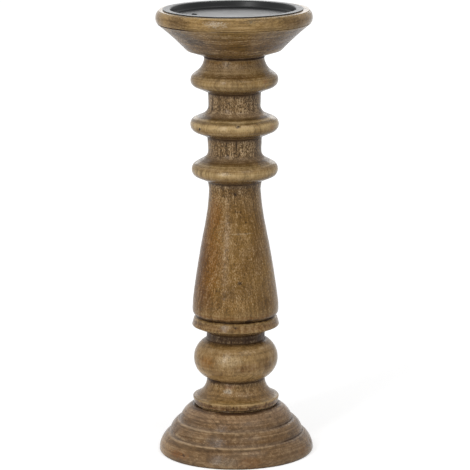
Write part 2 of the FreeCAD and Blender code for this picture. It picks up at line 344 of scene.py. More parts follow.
def splitBoards(blank, names, width, angle):
    # The blank is three boards glued side by side: one piece for each of them
    across = boardsAcross(angle)
    sides = [[(-width / 2, True)], [(-width / 2, False), (width / 2, True)], [(width / 2, False)]]
    boards = []
    for name, cuts in zip(names, sides):
        board = blank.copy()
        board.data = blank.data.copy()
        nameBoth(board, name)
        addToScene(board)
        pickOnly(board)
        for place, dropBeyond in cuts:
            editAll()
            bpy.ops.mesh.bisect(plane_co=across * place * mm, plane_no=across, use_fill=True,
                                clear_outer=dropBeyond, clear_inner=not dropBeyond)
            leaveEdit()
        boards.append(board)
    bpy.data.objects.remove(blank)
    return boards


# Node helpers

def tone(red, green, blue):
    # A colour as a screen shows it, 0 to 255, turned into Blender's linear values
    return [((c / 255 + 0.055) / 1.055) ** 2.4 for c in (red, green, blue)] + [1]


def put(tree, kind, inputs=None, **settings):
    node = tree.nodes.new(kind)
    for name, value in settings.items():
        setattr(node, name, value)
    for name, value in (inputs or {}).items():
        if isinstance(value, bpy.types.NodeSocket):
            tree.links.new(value, node.inputs[name])
        else:
            node.inputs[name].default_value = value
    return node


def connect(tree, inputs, sources):
    for name, source in sources.items():
        tree.links.new(source, inputs[name])


def maths(tree, operation, first, second=0, third=0, clamp=False):
    return put(tree, "ShaderNodeMath", {0: first, 1: second, 2: third},
               operation=operation, use_clamp=clamp).outputs[0]


def times(tree, first, second, clamp=False):
    return maths(tree, "MULTIPLY", first, second, clamp=clamp)


def timesPlus(tree, first, second, third):
    return maths(tree, "MULTIPLY_ADD", first, second, third)


def larger(tree, first, second):
    return maths(tree, "MAXIMUM", first, second)


def vectorMaths(tree, operation, first, second=(0, 0, 0)):
    # Gives a vector, or a number where the operation measures one
    node = put(tree, "ShaderNodeVectorMath", {0: first, 1: second}, operation=operation)
    return node.outputs["Value" if operation in ("LENGTH", "DOT_PRODUCT") else "Vector"]


def inMm(tree, vector):
    return vectorMaths(tree, "MULTIPLY", vector, (1 / mm, 1 / mm, 1 / mm))


def blend(tree, factor, under, over, mode="MIX"):
    return put(tree, "ShaderNodeMix", {0: factor, 6: under, 7: over},
               data_type="RGBA", blend_type=mode).outputs[2]


def remap(tree, value, low, high, newLow=0, newHigh=1):
    return put(tree, "ShaderNodeMapRange", {"Value": value, "From Min": low, "From Max": high,
                                            "To Min": newLow, "To Max": newHigh}).outputs[0]


def noise(tree, vector, name, output="Fac"):
    scale, detail, roughness, *squeeze = noises[name]
    if squeeze:
        vector = vectorMaths(tree, "MULTIPLY", vector, (1, 1, squeeze[0]))
    return put(tree, "ShaderNodeTexNoise", {"Vector": vector, "Scale": scale, "Detail": detail,
                                            "Roughness": roughness}).outputs[output]


def ranged(tree, value, name):
    return remap(tree, value, *ranges[name])


def offHalf(tree, value):
    return maths(tree, "SUBTRACT", value, 0.5)


def socketKind(value):
    # A list is a colour, a tuple or None is a vector
    if isinstance(value, list):
        return "NodeSocketColor"
    return "NodeSocketVector" if value is None or isinstance(value, tuple) else "NodeSocketFloat"


def newGroup(name, inputs, outputs):
    # inputs holds the starting values, outputs the names of what comes out
    group = bpy.data.node_groups.new(name, "ShaderNodeTree")
    for label, value in inputs.items():
        socket = group.interface.new_socket(label, in_out="INPUT", socket_type=socketKind(value))
        if value is not None:
            socket.default_value = value
    for label in outputs:
        kind = "NodeSocketColor" if label == "Color" else "NodeSocketFloat"
        group.interface.new_socket(label, in_out="OUTPUT", socket_type=kind)
    entry = group.nodes.new("NodeGroupInput")
    result = group.nodes.new("NodeGroupOutput")
    return group, entry.outputs, result.inputs


def useGroup(tree, group, inputs):
    return put(tree, "ShaderNodeGroup", inputs, node_tree=group).outputs


def newMaterial(name, fixed):
    # fixed holds the values that are the same all over the piece
    material = bpy.data.materials.new(name)
    material.use_nodes = True
    shader = material.node_tree.nodes["Principled BSDF"]
    for label, value in fixed.items():
        shader.inputs[label].default_value = value
    return material, material.node_tree, shader.inputs


def bumpNormal(tree, height, strength, distance):
    return put(tree, "ShaderNodeBump", {
        "Height": height, "Strength": strength, "Distance": distance * mm}).outputs["Normal"]


# Finishes. The grain group works in millimetres, with the fibres along Z.

# Each noise: its scale, its detail, its roughness and how far it is squeezed along Z
noises = {
    "drift": (0.03, 2, 0.5, 0.35), "years": (0.12, 1, 0.5, 0.02), "clear": (0.09, 2, 0.5, 0.3),
    "fine": (1, 2, 0.6, 0.07), "broad": (0.3, 2, 0.5, 0.06), "flecks": (1.6, 1, 0.5, 0.45),
    "mottle": (0.32, 3, 0.65, 0.5), "brushed": (0.9, 3, 0.5, 6),
    "broadLines": (0.4, 1, 0.5), "fineLines": (1, 2, 0.6), "raggedEdge": (700, 2, 0.6),
    "brokenGlue": (70, 2, 0.5), "blotch": (0.04, 3, 0.55), "washed": (0.06, 3, 0.5),
    "stainAndShadeLines": (0.25, 2, 0.5), "paintCloud": (0.05, 3, 0.5), "dust": (2, 2, 0.5),
    "paintSkin": (0.7, 1, 0.5), "spangle": (0.5, 2, 0.5),
}
poreCells = {"squeeze": 0.22, "share": 0.45}

# What a range of one value becomes, 0 to 1 where nothing else is given
ranges = {
    "lateWood": (0.25, 0.88), "yearsEnd": (0.88, 1, 1, 0), "clearRings": (0.38, 0.62, 0.15, 1),
    "pore": (0.2, 0.38, 1, 0), "linesOnSlopes": (0.1, 0.6, 0.1, 1), "linesOnRims": (-0.008, -0.03, 0, 0.8),
    "patch": (0.5, 1, 1, 0), "arcs": (0.1, 0.7), "missing": (0.4, 0.58, 1, 0),
    "glue": (0.0001, 0.0004, 1, 0), "brokenGlue": (0.45, 0.6),
    "calmOnRims": (-0.006, -0.03, 1, 0.4), "calmOnWearAndHighlightLines": (0, 0.4, 1, 0.4),
    "calmStreaks": (0.4, 1, 0.5, 1), "calmGloss": (0.4, 1, 0.75, 1),
    "blotch": (0.32, 0.66), "washed": (0.45, 0.68),
    "neck": (-0.004, 0.02), "markedNeck": (0, 1, 0, 0.75),
    "brokenWear": (0.42, 0.58, 0.6, 1.15), "rim": (-0.008, -0.034, 0, 0.7), "edge": (-0.05, -0.13),
    "livelyOffSlopes": (0.2, 0.6, 1, 0.1), "livelyOffWearAndHighlightLines": (0, 0.3, 1, 0.1),
    "endStreaks": (0, 1, 1, 0.4), "endFlecks": (0, 1, 1, 0.6),
    "crease": (0.02, 0.09), "stainAndShadeLines": (0.12, 0.6), "roughness": (0.3, 0.7, 0.36, 0.18),
    "paintCloud": (0.35, 0.65), "dust": (0.66, 0.74, 0, 0.2), "paintRoughness": (0.3, 0.7, 0.33, 0.4),
    "spangle": (0.35, 0.65), "zincRoughness": (0.3, 0.7, 0.28, 0.45),
}
glintTone = tone(206, 178, 138)
# The dark brown of creases and of the marked dark lines: stain that collects there, with painted shade
stainAndShadeTone = tone(56, 35, 14)


def makeGrainGroup():
    tree, given, out = newGroup("woodGrain", {"Vector": None, "Ring Gap": 6, "Wander": 5},
                                ["Rings", "Streaks", "Flecks", "Pores", "Mottle"])
    size = inMm(tree, given["Vector"])
    drift = vectorMaths(tree, "SUBTRACT", noise(tree, size, "drift", "Color"), (0.5, 0.5, 0.5))
    drift = vectorMaths(tree, "MULTIPLY", drift, given["Wander"])
    bent = vectorMaths(tree, "ADD", size, drift)
    fromPith = vectorMaths(tree, "LENGTH", vectorMaths(tree, "MULTIPLY", bent, (1, 1, 0)))
    years = maths(tree, "DIVIDE", fromPith, given["Ring Gap"])
    years = timesPlus(tree, noise(tree, bent, "years"), 2, years)
    phase = maths(tree, "FRACT", years)
    late = maths(tree, "MINIMUM", ranged(tree, phase, "lateWood"), ranged(tree, phase, "yearsEnd"))
    clear = ranged(tree, noise(tree, bent, "clear"), "clearRings")
    streaks = times(tree, noise(tree, bent, "fine"), 0.5)
    streaks = timesPlus(tree, noise(tree, bent, "broad"), 0.5, streaks)
    longCells = vectorMaths(tree, "MULTIPLY", bent, (1, 1, poreCells["squeeze"]))
    cells = put(tree, "ShaderNodeTexVoronoi", {"Vector": longCells, "Scale": 1}, feature="F1").outputs
    chosen = put(tree, "ShaderNodeSeparateColor", {0: cells["Color"]}).outputs[0]
    chosen = maths(tree, "GREATER_THAN", chosen, 1 - poreCells["share"])
    connect(tree, out, {
        "Rings": times(tree, late, clear), "Streaks": streaks,
        "Flecks": noise(tree, bent, "flecks"), "Mottle": noise(tree, bent, "mottle"),
        "Pores": times(tree, ranged(tree, cells["Distance"], "pore"), chosen)})
    return tree


def makeTurningGroup():
    # Fine rings left by the gouge, clearest on the slopes, where the stain lies in them
    tree, given, out = newGroup("turningLines", {"Vector": None, "Normal": None, "Bend": 0},
                                ["Lines", "Slope"])
    size = inMm(tree, given["Vector"])
    radius = vectorMaths(tree, "LENGTH", vectorMaths(tree, "MULTIPLY", size, (1, 1, 0)))
    height = put(tree, "ShaderNodeSeparateXYZ", {0: size}).outputs[2]
    along = put(tree, "ShaderNodeCombineXYZ", {0: radius, 1: height}).outputs[0]
    along = vectorMaths(tree, "ADD", vectorMaths(tree, "MULTIPLY", size, (0.03, 0.03, 0)), along)
    lines = timesPlus(tree, noise(tree, along, "broadLines"), 0.8,
                      times(tree, noise(tree, along, "fineLines"), 0.6))
    slope = maths(tree, "ABSOLUTE", put(tree, "ShaderNodeSeparateXYZ", {0: given["Normal"]}).outputs[2])
    clear = larger(tree, ranged(tree, slope, "linesOnSlopes"),
                   ranged(tree, given["Bend"], "linesOnRims"))
    lines = timesPlus(tree, maths(tree, "SUBTRACT", lines, 0.7), clear, 0.5)
    connect(tree, out, {"Lines": lines, "Slope": slope})
    return tree


def makePatchGroup():
    # A soft-edged patch round a place, or the arcs of grain round a knot there, in metres
    tree, given, out = newGroup("patch", {
        "Vector": None, "Centre": (0, 0, 0), "Reach": (1, 1, 1),
        "Arcs": 0, "Flecks": 0.5, "Broken": 0.8}, ["Mask"])
    away = vectorMaths(tree, "SUBTRACT", given["Vector"], given["Centre"])
    away = vectorMaths(tree, "LENGTH", vectorMaths(tree, "DIVIDE", away, given["Reach"]))
    ragged = offHalf(tree, noise(tree, given["Vector"], "raggedEdge"))
    away = timesPlus(tree, ragged, 1.6, away)
    whole = ranged(tree, away, "patch")
    waves = maths(tree, "SINE", times(tree, away, given["Arcs"]))
    arcs = times(tree, whole, ranged(tree, waves, "arcs"))
    ringed = maths(tree, "GREATER_THAN", given["Arcs"], 0.5)
    mask = put(tree, "ShaderNodeMix", {0: ringed, 2: whole, 3: arcs}).outputs[0]
    missing = times(tree, ranged(tree, given["Flecks"], "missing"), given["Broken"])
    connect(tree, out, {"Mask": times(tree, mask, maths(tree, "SUBTRACT", 1, missing))})
    return tree


def makeGlueGroup():
    # The two thin lines where three glued boards meet, faint and broken, in metres
    tree, given, out = newGroup("glueLines", {
        "Vector": None, "Across": (0, 1, 0), "Half Width": 0.03}, ["Mask"])
    across = maths(tree, "ABSOLUTE", vectorMaths(tree, "DOT_PRODUCT", given["Vector"], given["Across"]))
    away = maths(tree, "ABSOLUTE", maths(tree, "SUBTRACT", across, given["Half Width"]))
    broken = ranged(tree, noise(tree, given["Vector"], "brokenGlue"), "brokenGlue")
    connect(tree, out, {"Mask": times(tree, ranged(tree, away, "glue"), broken)})
    return tree


def swing(tree, value, depth):
    # Turns a pattern that lies round 0.5 into a factor that lies round 1
    return timesPlus(tree, offHalf(tree, value), times(tree, depth, 5), 1)


def stainColour(tree, given, size, neck, inNeck):
    blotch = ranged(tree, noise(tree, size, "blotch"), "blotch")
    colour = blend(tree, blotch, given["Brown"], given["Golden"])
    washed = ranged(tree, noise(tree, size, "washed"), "washed")
    colour = blend(tree, times(tree, washed, given["Wash Amount"]), colour, given["Wash"])
    colour = blend(tree, times(tree, given["End Grain"], given["End Depth"]), colour, given["Umber"])
    washed = times(tree, larger(tree, neck, inNeck), given["Neck Wash"])
    colour = blend(tree, washed, colour, given["Wash"])
    # Paler where the piece stands out, from wear, and along the marked pale lines, which are pale wear with
    # painted highlights
    standsOut = larger(tree, ranged(tree, given["Broad Bend"], "rim"),
                       ranged(tree, given["Fine Bend"], "edge"))
    paleWearAndHighlight = larger(tree, times(tree, standsOut, given["Worn Amount"]), given["Wear And Highlight Lines"])
    paleWearAndHighlight = times(tree, paleWearAndHighlight, ranged(tree, given["Streaks"], "brokenWear"), clamp=True)
    return blend(tree, paleWearAndHighlight, colour, given["Pale Wear And Highlight"])


def stainShade(tree, given, neck, inNeck, calm, flecks):
    lively = times(tree, larger(tree, times(tree, neck, 0.5), inNeck), given["Neck Depth"])
    lively = times(tree, lively, ranged(tree, given["Slope"], "livelyOffSlopes"))
    lively = times(tree, lively, ranged(tree, given["Wear And Highlight Lines"], "livelyOffWearAndHighlightLines"))
    streakDepth = timesPlus(tree, lively, 0.8, given["Streak Depth"])
    streakDepth = times(tree, streakDepth, ranged(tree, given["End Grain"], "endStreaks"))
    streakDepth = times(tree, streakDepth, ranged(tree, calm, "calmStreaks"))
    fleckDepth = timesPlus(tree, lively, 0.8, given["Fleck Depth"])
    fleckDepth = times(tree, fleckDepth, ranged(tree, given["End Grain"], "endFlecks"))
    shade = times(tree, swing(tree, flecks, fleckDepth), swing(tree, given["Streaks"], streakDepth))
    for pattern, depth in (("Mottle", "Mottle Depth"), ("Lines", "Line Depth")):
        shade = times(tree, shade, swing(tree, given[pattern], given[depth]))
    dark = larger(tree, times(tree, given["Rings"], given["Ring Depth"]),
                  times(tree, given["Pores"], given["Pore Depth"]))
    return times(tree, shade, maths(tree, "SUBTRACT", 1, dark))


def stainHollow(tree, given, size, neck):
    # Where the colour goes dark: in concave necks, in creases and along the marked dark lines, where stain
    # collects and shade is painted, and in the glue lines
    hollow = larger(tree, times(tree, neck, 0.15), ranged(tree, given["Fine Bend"], "crease"))
    hollow = times(tree, hollow, given["Hollow Amount"], clamp=True)
    uneven = offHalf(tree, noise(tree, size, "stainAndShadeLines"))
    stainAndShadeLines = ranged(tree, timesPlus(tree, uneven, 0.6, given["Stain And Shade Lines"]), "stainAndShadeLines")
    stainAndShadeLines = times(tree, stainAndShadeLines, maths(tree, "GREATER_THAN", given["Stain And Shade Lines"], 0.01))
    return larger(tree, larger(tree, hollow, stainAndShadeLines), times(tree, given["Glue"], 0.55))


def makeStainGroup():
    # Brown stain under a lacquer that shows wear: paler where the piece stands out and along the marked
    # pale lines, which carry painted highlights too, darker on end grain, and dark in creases, where shade
    # is painted too
    tree, given, out = newGroup("brownStain", {
        "Vector": None, "Rings": 0, "Streaks": 0.5, "Flecks": 0.5, "Pores": 0, "Mottle": 0.5,
        "Fine Bend": 0, "Broad Bend": 0, "Stain And Shade Lines": 0, "Wear And Highlight Lines": 0, "Necks": 0, "Glue": 0, "Lines": 0.5,
        "Slope": 0, "End Grain": 0, "Golden": tone(148, 108, 50), "Brown": tone(122, 86, 38),
        "Umber": tone(62, 42, 18), "Pale Wear And Highlight": tone(186, 154, 104), "Wash": tone(136, 114, 88),
        "Ring Depth": 0.3, "Streak Depth": 0.35, "Fleck Depth": 0.55, "Mottle Depth": 0.08,
        "Line Depth": 0.5, "Pore Depth": 0.2, "End Depth": 0.7, "Worn Amount": 0.6, "Hollow Amount": 0.8,
        "Wash Amount": 0.25, "Neck Wash": 0.55, "Neck Depth": 1
    }, ["Color", "Shade", "Glint", "Hollow", "Roughness", "Height"])
    size = inMm(tree, given["Vector"])
    calm = maths(tree, "MINIMUM", ranged(tree, given["Broad Bend"], "calmOnRims"),
                 ranged(tree, given["Wear And Highlight Lines"], "calmOnWearAndHighlightLines"))
    flecks = timesPlus(tree, offHalf(tree, given["Flecks"]), calm, 0.5)
    neck = ranged(tree, given["Broad Bend"], "neck")
    inNeck = ranged(tree, given["Necks"], "markedNeck")
    shade = stainShade(tree, given, neck, inNeck, calm, flecks)
    hollow = stainHollow(tree, given, size, neck)
    rough = times(tree, ranged(tree, flecks, "roughness"), ranged(tree, calm, "calmGloss"))
    rough = timesPlus(tree, given["Pores"], 0.2, rough)
    height = times(tree, given["Mottle"], 0.6)
    for pattern, share in ((given["Streaks"], 0.5), (flecks, 0.6), (given["Lines"], 0.5),
                           (given["Pores"], -0.5)):
        height = timesPlus(tree, pattern, share, height)
    connect(tree, out, {
        "Color": stainColour(tree, given, size, neck, inNeck),
        "Shade": maths(tree, "MINIMUM", larger(tree, shade, 0.25), 1),
        "Glint": times(tree, maths(tree, "SUBTRACT", shade, 1), 0.7, clamp=True),
        "Hollow": hollow, "Roughness": timesPlus(tree, hollow, 0.2, rough),
        "Height": height})
    return tree


grainGroup = makeGrainGroup()
turningGroup = makeTurningGroup()
patchGroup = makePatchGroup()
glueGroup = makeGlueGroup()
stainGroup = makeStainGroup()


# A patch: its place as onPiece takes it, how far it reaches to the side, back and up, its colour,
# how much it covers, how far the flecks break it up, and how close the arcs of grain lie when it is
# a knot. A band goes all round the piece.

def band(height, across, up, shade, amount, broken=0.75):
    return (0, height, 0), (across, across, up), shade, amount, broken


def layPatch(tree, where, flecks, colour, at, reach, shade, amount, broken=0.75, arcs=0):
    mask = useGroup(tree, patchGroup, {
        "Vector": where, "Centre": onPiece(*at), "Reach": [r * mm for r in reach],
        "Arcs": arcs, "Broken": broken, "Flecks": flecks})["Mask"]
    return blend(tree, times(tree, mask, amount), colour, tone(*shade))


# What a wood takes where its look says nothing else
woodFinish = {"wander": 6, "relief": 0.12, "gloss": 0.14, "patches": []}


def makeWood(name, look):
    look = {**woodFinish, **look}
    material, tree, sockets = newMaterial(name, {"Specular IOR Level": look["gloss"]})
    coordinates = put(tree, "ShaderNodeTexCoord").outputs
    where = coordinates["Object"]
    fibres = Vector(look["fibres"])
    side, back, along = look["pith"]
    grainSpace = put(tree, "ShaderNodeMapping", {
        "Vector": where, "Rotation": fibres.rotation_difference(Vector((0, 0, 1))).to_euler(),
        "Location": (-side * mm, -back * mm, along * mm)}).outputs[0]
    grain = useGroup(tree, grainGroup, {
        "Vector": grainSpace, "Ring Gap": look["ringGap"], "Wander": look["wander"]})
    marks = {label: put(tree, "ShaderNodeAttribute", attribute_name=mark).outputs["Fac"]
             for label, mark in (("Fine Bend", "fineBend"), ("Broad Bend", "broadBend"),
                                 ("Stain And Shade Lines", "stainAndShadeLines"), ("Wear And Highlight Lines", "wearAndHighlightLines"), ("Necks", "necks"))}
    turned = useGroup(tree, turningGroup, {
        "Vector": where, "Normal": coordinates["Normal"], "Bend": marks["Broad Bend"]})
    facing = vectorMaths(tree, "DOT_PRODUCT", coordinates["Normal"], fibres.normalized())
    stain = {"Vector": where, "Lines": turned["Lines"], "Slope": turned["Slope"],
             "End Grain": times(tree, facing, facing), **marks, **look["stain"]}
    for label in ("Rings", "Streaks", "Flecks", "Pores", "Mottle"):
        stain[label] = grain[label]
    if "boards" in look:
        stain["Glue"] = useGroup(tree, glueGroup, {
            "Vector": where, "Across": boardsAcross(look["boards"]["angle"]),
            "Half Width": look["boards"]["width"] / 2 * mm})["Mask"]
    stain = useGroup(tree, stainGroup, stain)
    colour = stain["Color"]
    for patch in look["patches"]:
        colour = layPatch(tree, where, grain["Flecks"], colour, *patch)
    colour = blend(tree, 1, colour, stain["Shade"], "MULTIPLY")
    colour = blend(tree, stain["Glint"], colour, glintTone)
    connect(tree, sockets, {
        "Base Color": blend(tree, stain["Hollow"], colour, stainAndShadeTone), "Roughness": stain["Roughness"],
        "Normal": bumpNormal(tree, stain["Height"], 0.7, look["relief"])})
    return material


def makePaint(hookMark):
    material, tree, sockets = newMaterial("satinBlackPaint", {"Specular IOR Level": 0.315})
    where = put(tree, "ShaderNodeTexCoord").outputs["Object"]
    size = inMm(tree, where)
    cloud = noise(tree, size, "paintCloud")
    colour = blend(tree, ranged(tree, cloud, "paintCloud"), tone(18, 19, 20), tone(26, 27, 28))
    dust = ranged(tree, noise(tree, size, "dust"), "dust")
    matt = useGroup(tree, patchGroup, {
        "Vector": where, "Centre": Vector(hookMark["centre"]) * mm, "Reach": Vector(hookMark["reach"]) * mm,
        "Broken": 0})["Mask"]
    connect(tree, sockets, {
        "Base Color": blend(tree, dust, colour, tone(110, 110, 108)),
        "Roughness": larger(tree, ranged(tree, cloud, "paintRoughness"), times(tree, matt, 0.95)),
        "Normal": bumpNormal(tree, noise(tree, size, "paintSkin"), 0.3, 0.012)})
    return material


def makeZinc():
    material, tree, sockets = newMaterial("zincPlate", {"Metallic": 1})
    size = inMm(tree, put(tree, "ShaderNodeTexCoord").outputs["Object"])
    brushed = noise(tree, size, "brushed")
    spangle = ranged(tree, noise(tree, size, "spangle"), "spangle")
    connect(tree, sockets, {
        "Base Color": blend(tree, spangle, tone(176, 176, 170), tone(206, 205, 198)),
        "Roughness": ranged(tree, brushed, "zincRoughness"),
        "Normal": bumpNormal(tree, brushed, 0.3, 0.03)})
    return material


def dress(piece, material):
    piece.data.materials.clear()
    piece.data.materials.append(material)


# How often each mark of the bends is smoothed
wearPasses = {"fineBend": 3, "broadBend": 30}

# Cup: three boards with the grain running across

cupShape = {
    "outline": [
        (12.6, 320.7), (12.6, 306.7, "plain"), (23.2, 306.7), (23.2, 307.5), (36.2, 311.6, "round", 2.5),
        (57.9, 331.9, "bow", -0.45), (57.75, 332.3), (58.4, 332.6), (57.7, 341.2, "bow", 1.4),
        (56.6, 342.2), (50.6, 342.2),
        (50.6, 335.6), (4.85, 335.6, "plain"), (2.55, 333, "plain"), (2.55, 320.7, "plain"),
    ],
    "rowSpacing": 0.7, "turnSteps": 420,
    "shownFrom": 22, "shownHeights": (307, 341.9),
    "waves": [(9, 0.35, 0.22, 0.31), (28, 1, 0.35, 0.77)],
    "boards": {"width": 52, "angle": -7.9},
    "fibres": (0.990, -0.138, 0),
    "dents": [(-20, 336, 59, 3, 0.35), (30, 338, 59, 2.5, 0.3), (12.5, 339.8, 58, 2.2, 0.3),
              (120, 337, 59, 3.5, 0.4), (-150, 324, 49, 4, 0.3)],
    # Dark lines at the joint below the cup and in the band's crease, strongest on the left: stain
    # collecting there, with painted shade. Pale lines on the rim, from wear, and a painted highlight on the
    # band's lower edge at the front.
    "stainAndShadeLines": [(23.2, 306.9, 2.4, 0.8), (57.8, 332.4, 1.2, 0.9, -60, 36), (57.8, 332.4, 0.8, 0.15)],
    "wearAndHighlightLines": [(57.2, 341.7, 1.6, 1), (58.7, 334.4, 1.3, 0.4, 5, 40)],
}
cupStain = {
    "Golden": tone(148, 114, 62), "Brown": tone(118, 90, 50), "Pale Wear And Highlight": tone(192, 160, 108),
    "Ring Depth": 0.4, "Streak Depth": 0.5, "Wash Amount": 0.3, "End Depth": 0.3, "Line Depth": 0.34,
    "Hollow Amount": 0.45,
}
cupEndStain = {
    **cupStain, "Golden": tone(142, 114, 84), "Brown": tone(100, 76, 58), "Wash Amount": 0.55,
}
cupPatches = [
    band(342.3, 90, 1.1, (196, 178, 148), 0.6, 0.4),
    band(312, 70, 6.5, (80, 56, 30), 0.75, 0.4),
    band(321, 80, 9, (118, 80, 44), 0.4, 0.4),
    ((-13, 338, 58.6), (11, 8, 3.4), (176, 162, 142), 0.7, 1),
    ((-34, 339, 58.6), (9, 8, 2.6), (82, 62, 24), 0.6, 0.75, 11),
    ((12.5, 339.4, 58), (6.5, 6, 2.4), (84, 78, 42), 0.7, 0.75, 14),
    ((12.5, 339.8, 58), (1.7, 3, 1.1), (66, 58, 34), 0.8),
    ((-38, 322.5, 47), (13, 10, 5), (56, 42, 34), 0.9, 0.6),
    ((-51, 325, 50), (14, 14, 9), (54, 38, 26), 0.9, 0.6),
    ((50, 324, 49), (12, 12, 8), (112, 98, 78), 0.4),
    ((-46, 337.5, 58.8), (16, 14, 5), (90, 64, 32), 0.8, 0.4),
    ((48, 337.5, 58.8), (17, 14, 5), (92, 64, 32), 0.6, 0.4),
    ((-5, 330, 55), (22, 8, 2.2), (144, 112, 58), 0.45),
    ((0, 313, 38), (20, 10, 3), (104, 68, 44), 0.35),
]
cupLooks = {
    "cup_front": {"pith": (30, 40, 0), "ringGap": 2.4, "stain": cupStain, "patches": cupPatches},
    "cup_middle": {"pith": (-20, 60, 200), "ringGap": 2.8, "stain": cupEndStain},
    "cup_back": {"pith": (45, -35, 400), "ringGap": 2.5, "stain": cupStain},
}


def wearAndMark(piece, shape):
    wearIn(piece, shape)
    pressDents(piece, shape["dents"])
    markWear(piece, wearPasses)
    # Line marks: dark lines of stain with painted shade, pale lines of wear with painted highlights, and
    # the necks
    for name in ("stainAndShadeLines", "wearAndHighlightLines", "necks"):
        markLines(piece, name, shape.get(name, []))


def makeBoards(name, shape, looks, nodes):
    blank = turnPiece(name, shape)
    wearAndMark(blank, shape)
    boards = splitBoards(blank, list(looks), **shape["boards"])
    for board, node in zip(boards, nodes):
        look = {"fibres": shape["fibres"], "boards": shape["boards"], **looks[board.name]}
        finishPiece(board, makeWood(board.name + "Wood", look), node)
    print(name, "done:", [len(board.data.polygons) for board in boards], "faces")


makeBoards("cup", cupShape, cupLooks, ["cup_front_board", "cup_middle_board", "cup_back_board"])

# Base: three boards, stepped

baseShape = {
    "outline": [
        (2.8, 15), (2.8, 7, "plain"), (10, 7, "plain"), (10, 0, "plain"), (58.2, 0, "plain"),
        (59.8, 2, "bow", 0.5), (53.2, 14.5, "bow", 1.5), (51.8, 15.1), (45.6, 24.6, "bow", 1.1),
        (44, 25.2), (34.7, 36.3, "bow", 1.3), (33.4, 37), (12.6, 37, "plain"), (12.6, 15, "plain"),
    ],
    "rowSpacing": 0.7, "turnSteps": 420,
    "shownFrom": 28, "shownHeights": (0.3, 36.9),
    "waves": [(9, 0.35, 0.22, 0.13), (28, 1, 0.35, 0.57)],
    "boards": {"width": 70, "angle": -53.3},
    "fibres": (-0.598, 0.801, 0),
    "dents": [(-43.5, 6.7, 58.1, 2, 0.45), (30, 20, 49, 3, 0.3), (80, 8, 57, 3.5, 0.4),
              (-120, 10, 56.5, 3.5, 0.4), (170, 21, 48.5, 3, 0.3)],
    # Dark lines: painted shade in the step creases on the right and at the back, a painted shadow round the
    # foot, strongest at the front, and along the bottom edge, with stain collecting in the creases
    "stainAndShadeLines": [(51.4, 15.6, 1.1, 0.75, 76, 50), (43.6, 25.7, 1.1, 0.75, 76, 50),
                 (51.4, 15.6, 1, 0.6, 180, 70), (43.6, 25.7, 1, 0.6, 180, 70),
                 (33.4, 37, 2.6, 0.9, 4, 40), (33.4, 37, 1.8, 0.3), (59.3, 0.6, 1.2, 0.5)],
    # Pale lines along the ledges, strongest on the left and at the front, along the bottom edge on both
    # sides and on the lower ledge at the back: painted highlights with pale wear
    "wearAndHighlightLines": [(52.9, 14.8, 1.6, 1.5, -30, 76), (45.2, 24.9, 1.6, 1.5, -26, 70),
               (59.7, 2.2, 1.5, 0.6, -72, 30), (59.7, 2.2, 1.5, 0.6, 66, 30),
               (53.3, 14.2, 1.4, 0.45, 160, 60)],
}
baseStain = {
    "Golden": tone(130, 99, 64), "Brown": tone(102, 74, 46), "Pale Wear And Highlight": tone(180, 152, 118),
    "Wash": tone(130, 110, 90), "Ring Depth": 0.24, "Streak Depth": 0.55, "Wash Amount": 0.35,
    "Worn Amount": 0.4, "Fleck Depth": 0.22, "End Depth": 0.15, "Hollow Amount": 0.1,
    "Line Depth": 0.34, "Neck Depth": 0.1, "Mottle Depth": 0.19,
}
basePatches = [
    band(33, 70, 6, (168, 136, 103), 0.6, 0.3),
    # Painted shadow on the base round the foot
    band(37.4, 60, 2.4, (62, 36, 12), 0.75, 0.2),
    band(19.5, 70, 3.8, (84, 58, 34), 0.35, 0.8),
    ((-76, 8, 58), (12, 26, 8), (178, 142, 98), 0.65, 0.4),
    ((-8.5, 5.8, 58.6), (14, 7, 4), (146, 132, 114), 0.5),
    ((-47.5, 18, 50.5), (12, 10, 3.6), (80, 56, 34), 0.75, 0.9),
    ((-42, 30.5, 39), (12, 10, 4), (90, 64, 42), 0.5),
    ((-49.5, 6.2, 58.4), (14, 12, 3.6), (146, 92, 44), 0.6),
    ((-43.5, 6.7, 58.1), (1.7, 2.5, 1.6), (58, 34, 20), 0.85, 0),
    ((59, 17.5, 51), (8, 10, 4), (70, 52, 36), 0.5),
    ((62, 6.2, 58.4), (9, 10, 5), (136, 94, 42), 0.55),
    ((10, 5, 58.5), (12, 6, 5), (128, 84, 44), 0.5),
]
baseGreyPatch = ((-20.5, 19.5, 50), (9, 7, 4.2), (120, 108, 96), 0.6)
baseLooks = {
    "base_left": {"pith": (20, 50, 0), "ringGap": 2.8, "stain": baseStain,
                  "patches": basePatches + [baseGreyPatch]},
    "base_middle": {"pith": (-30, 70, 300), "ringGap": 3, "stain": baseStain, "patches": basePatches},
    "base_right": {"pith": (40, -50, 500), "ringGap": 2.6, "stain": baseStain},
}
makeBoards("base", baseShape, baseLooks, ["base_left_board", "base_middle_board", "base_right_board"])


# Stem: two turnings with upright grain

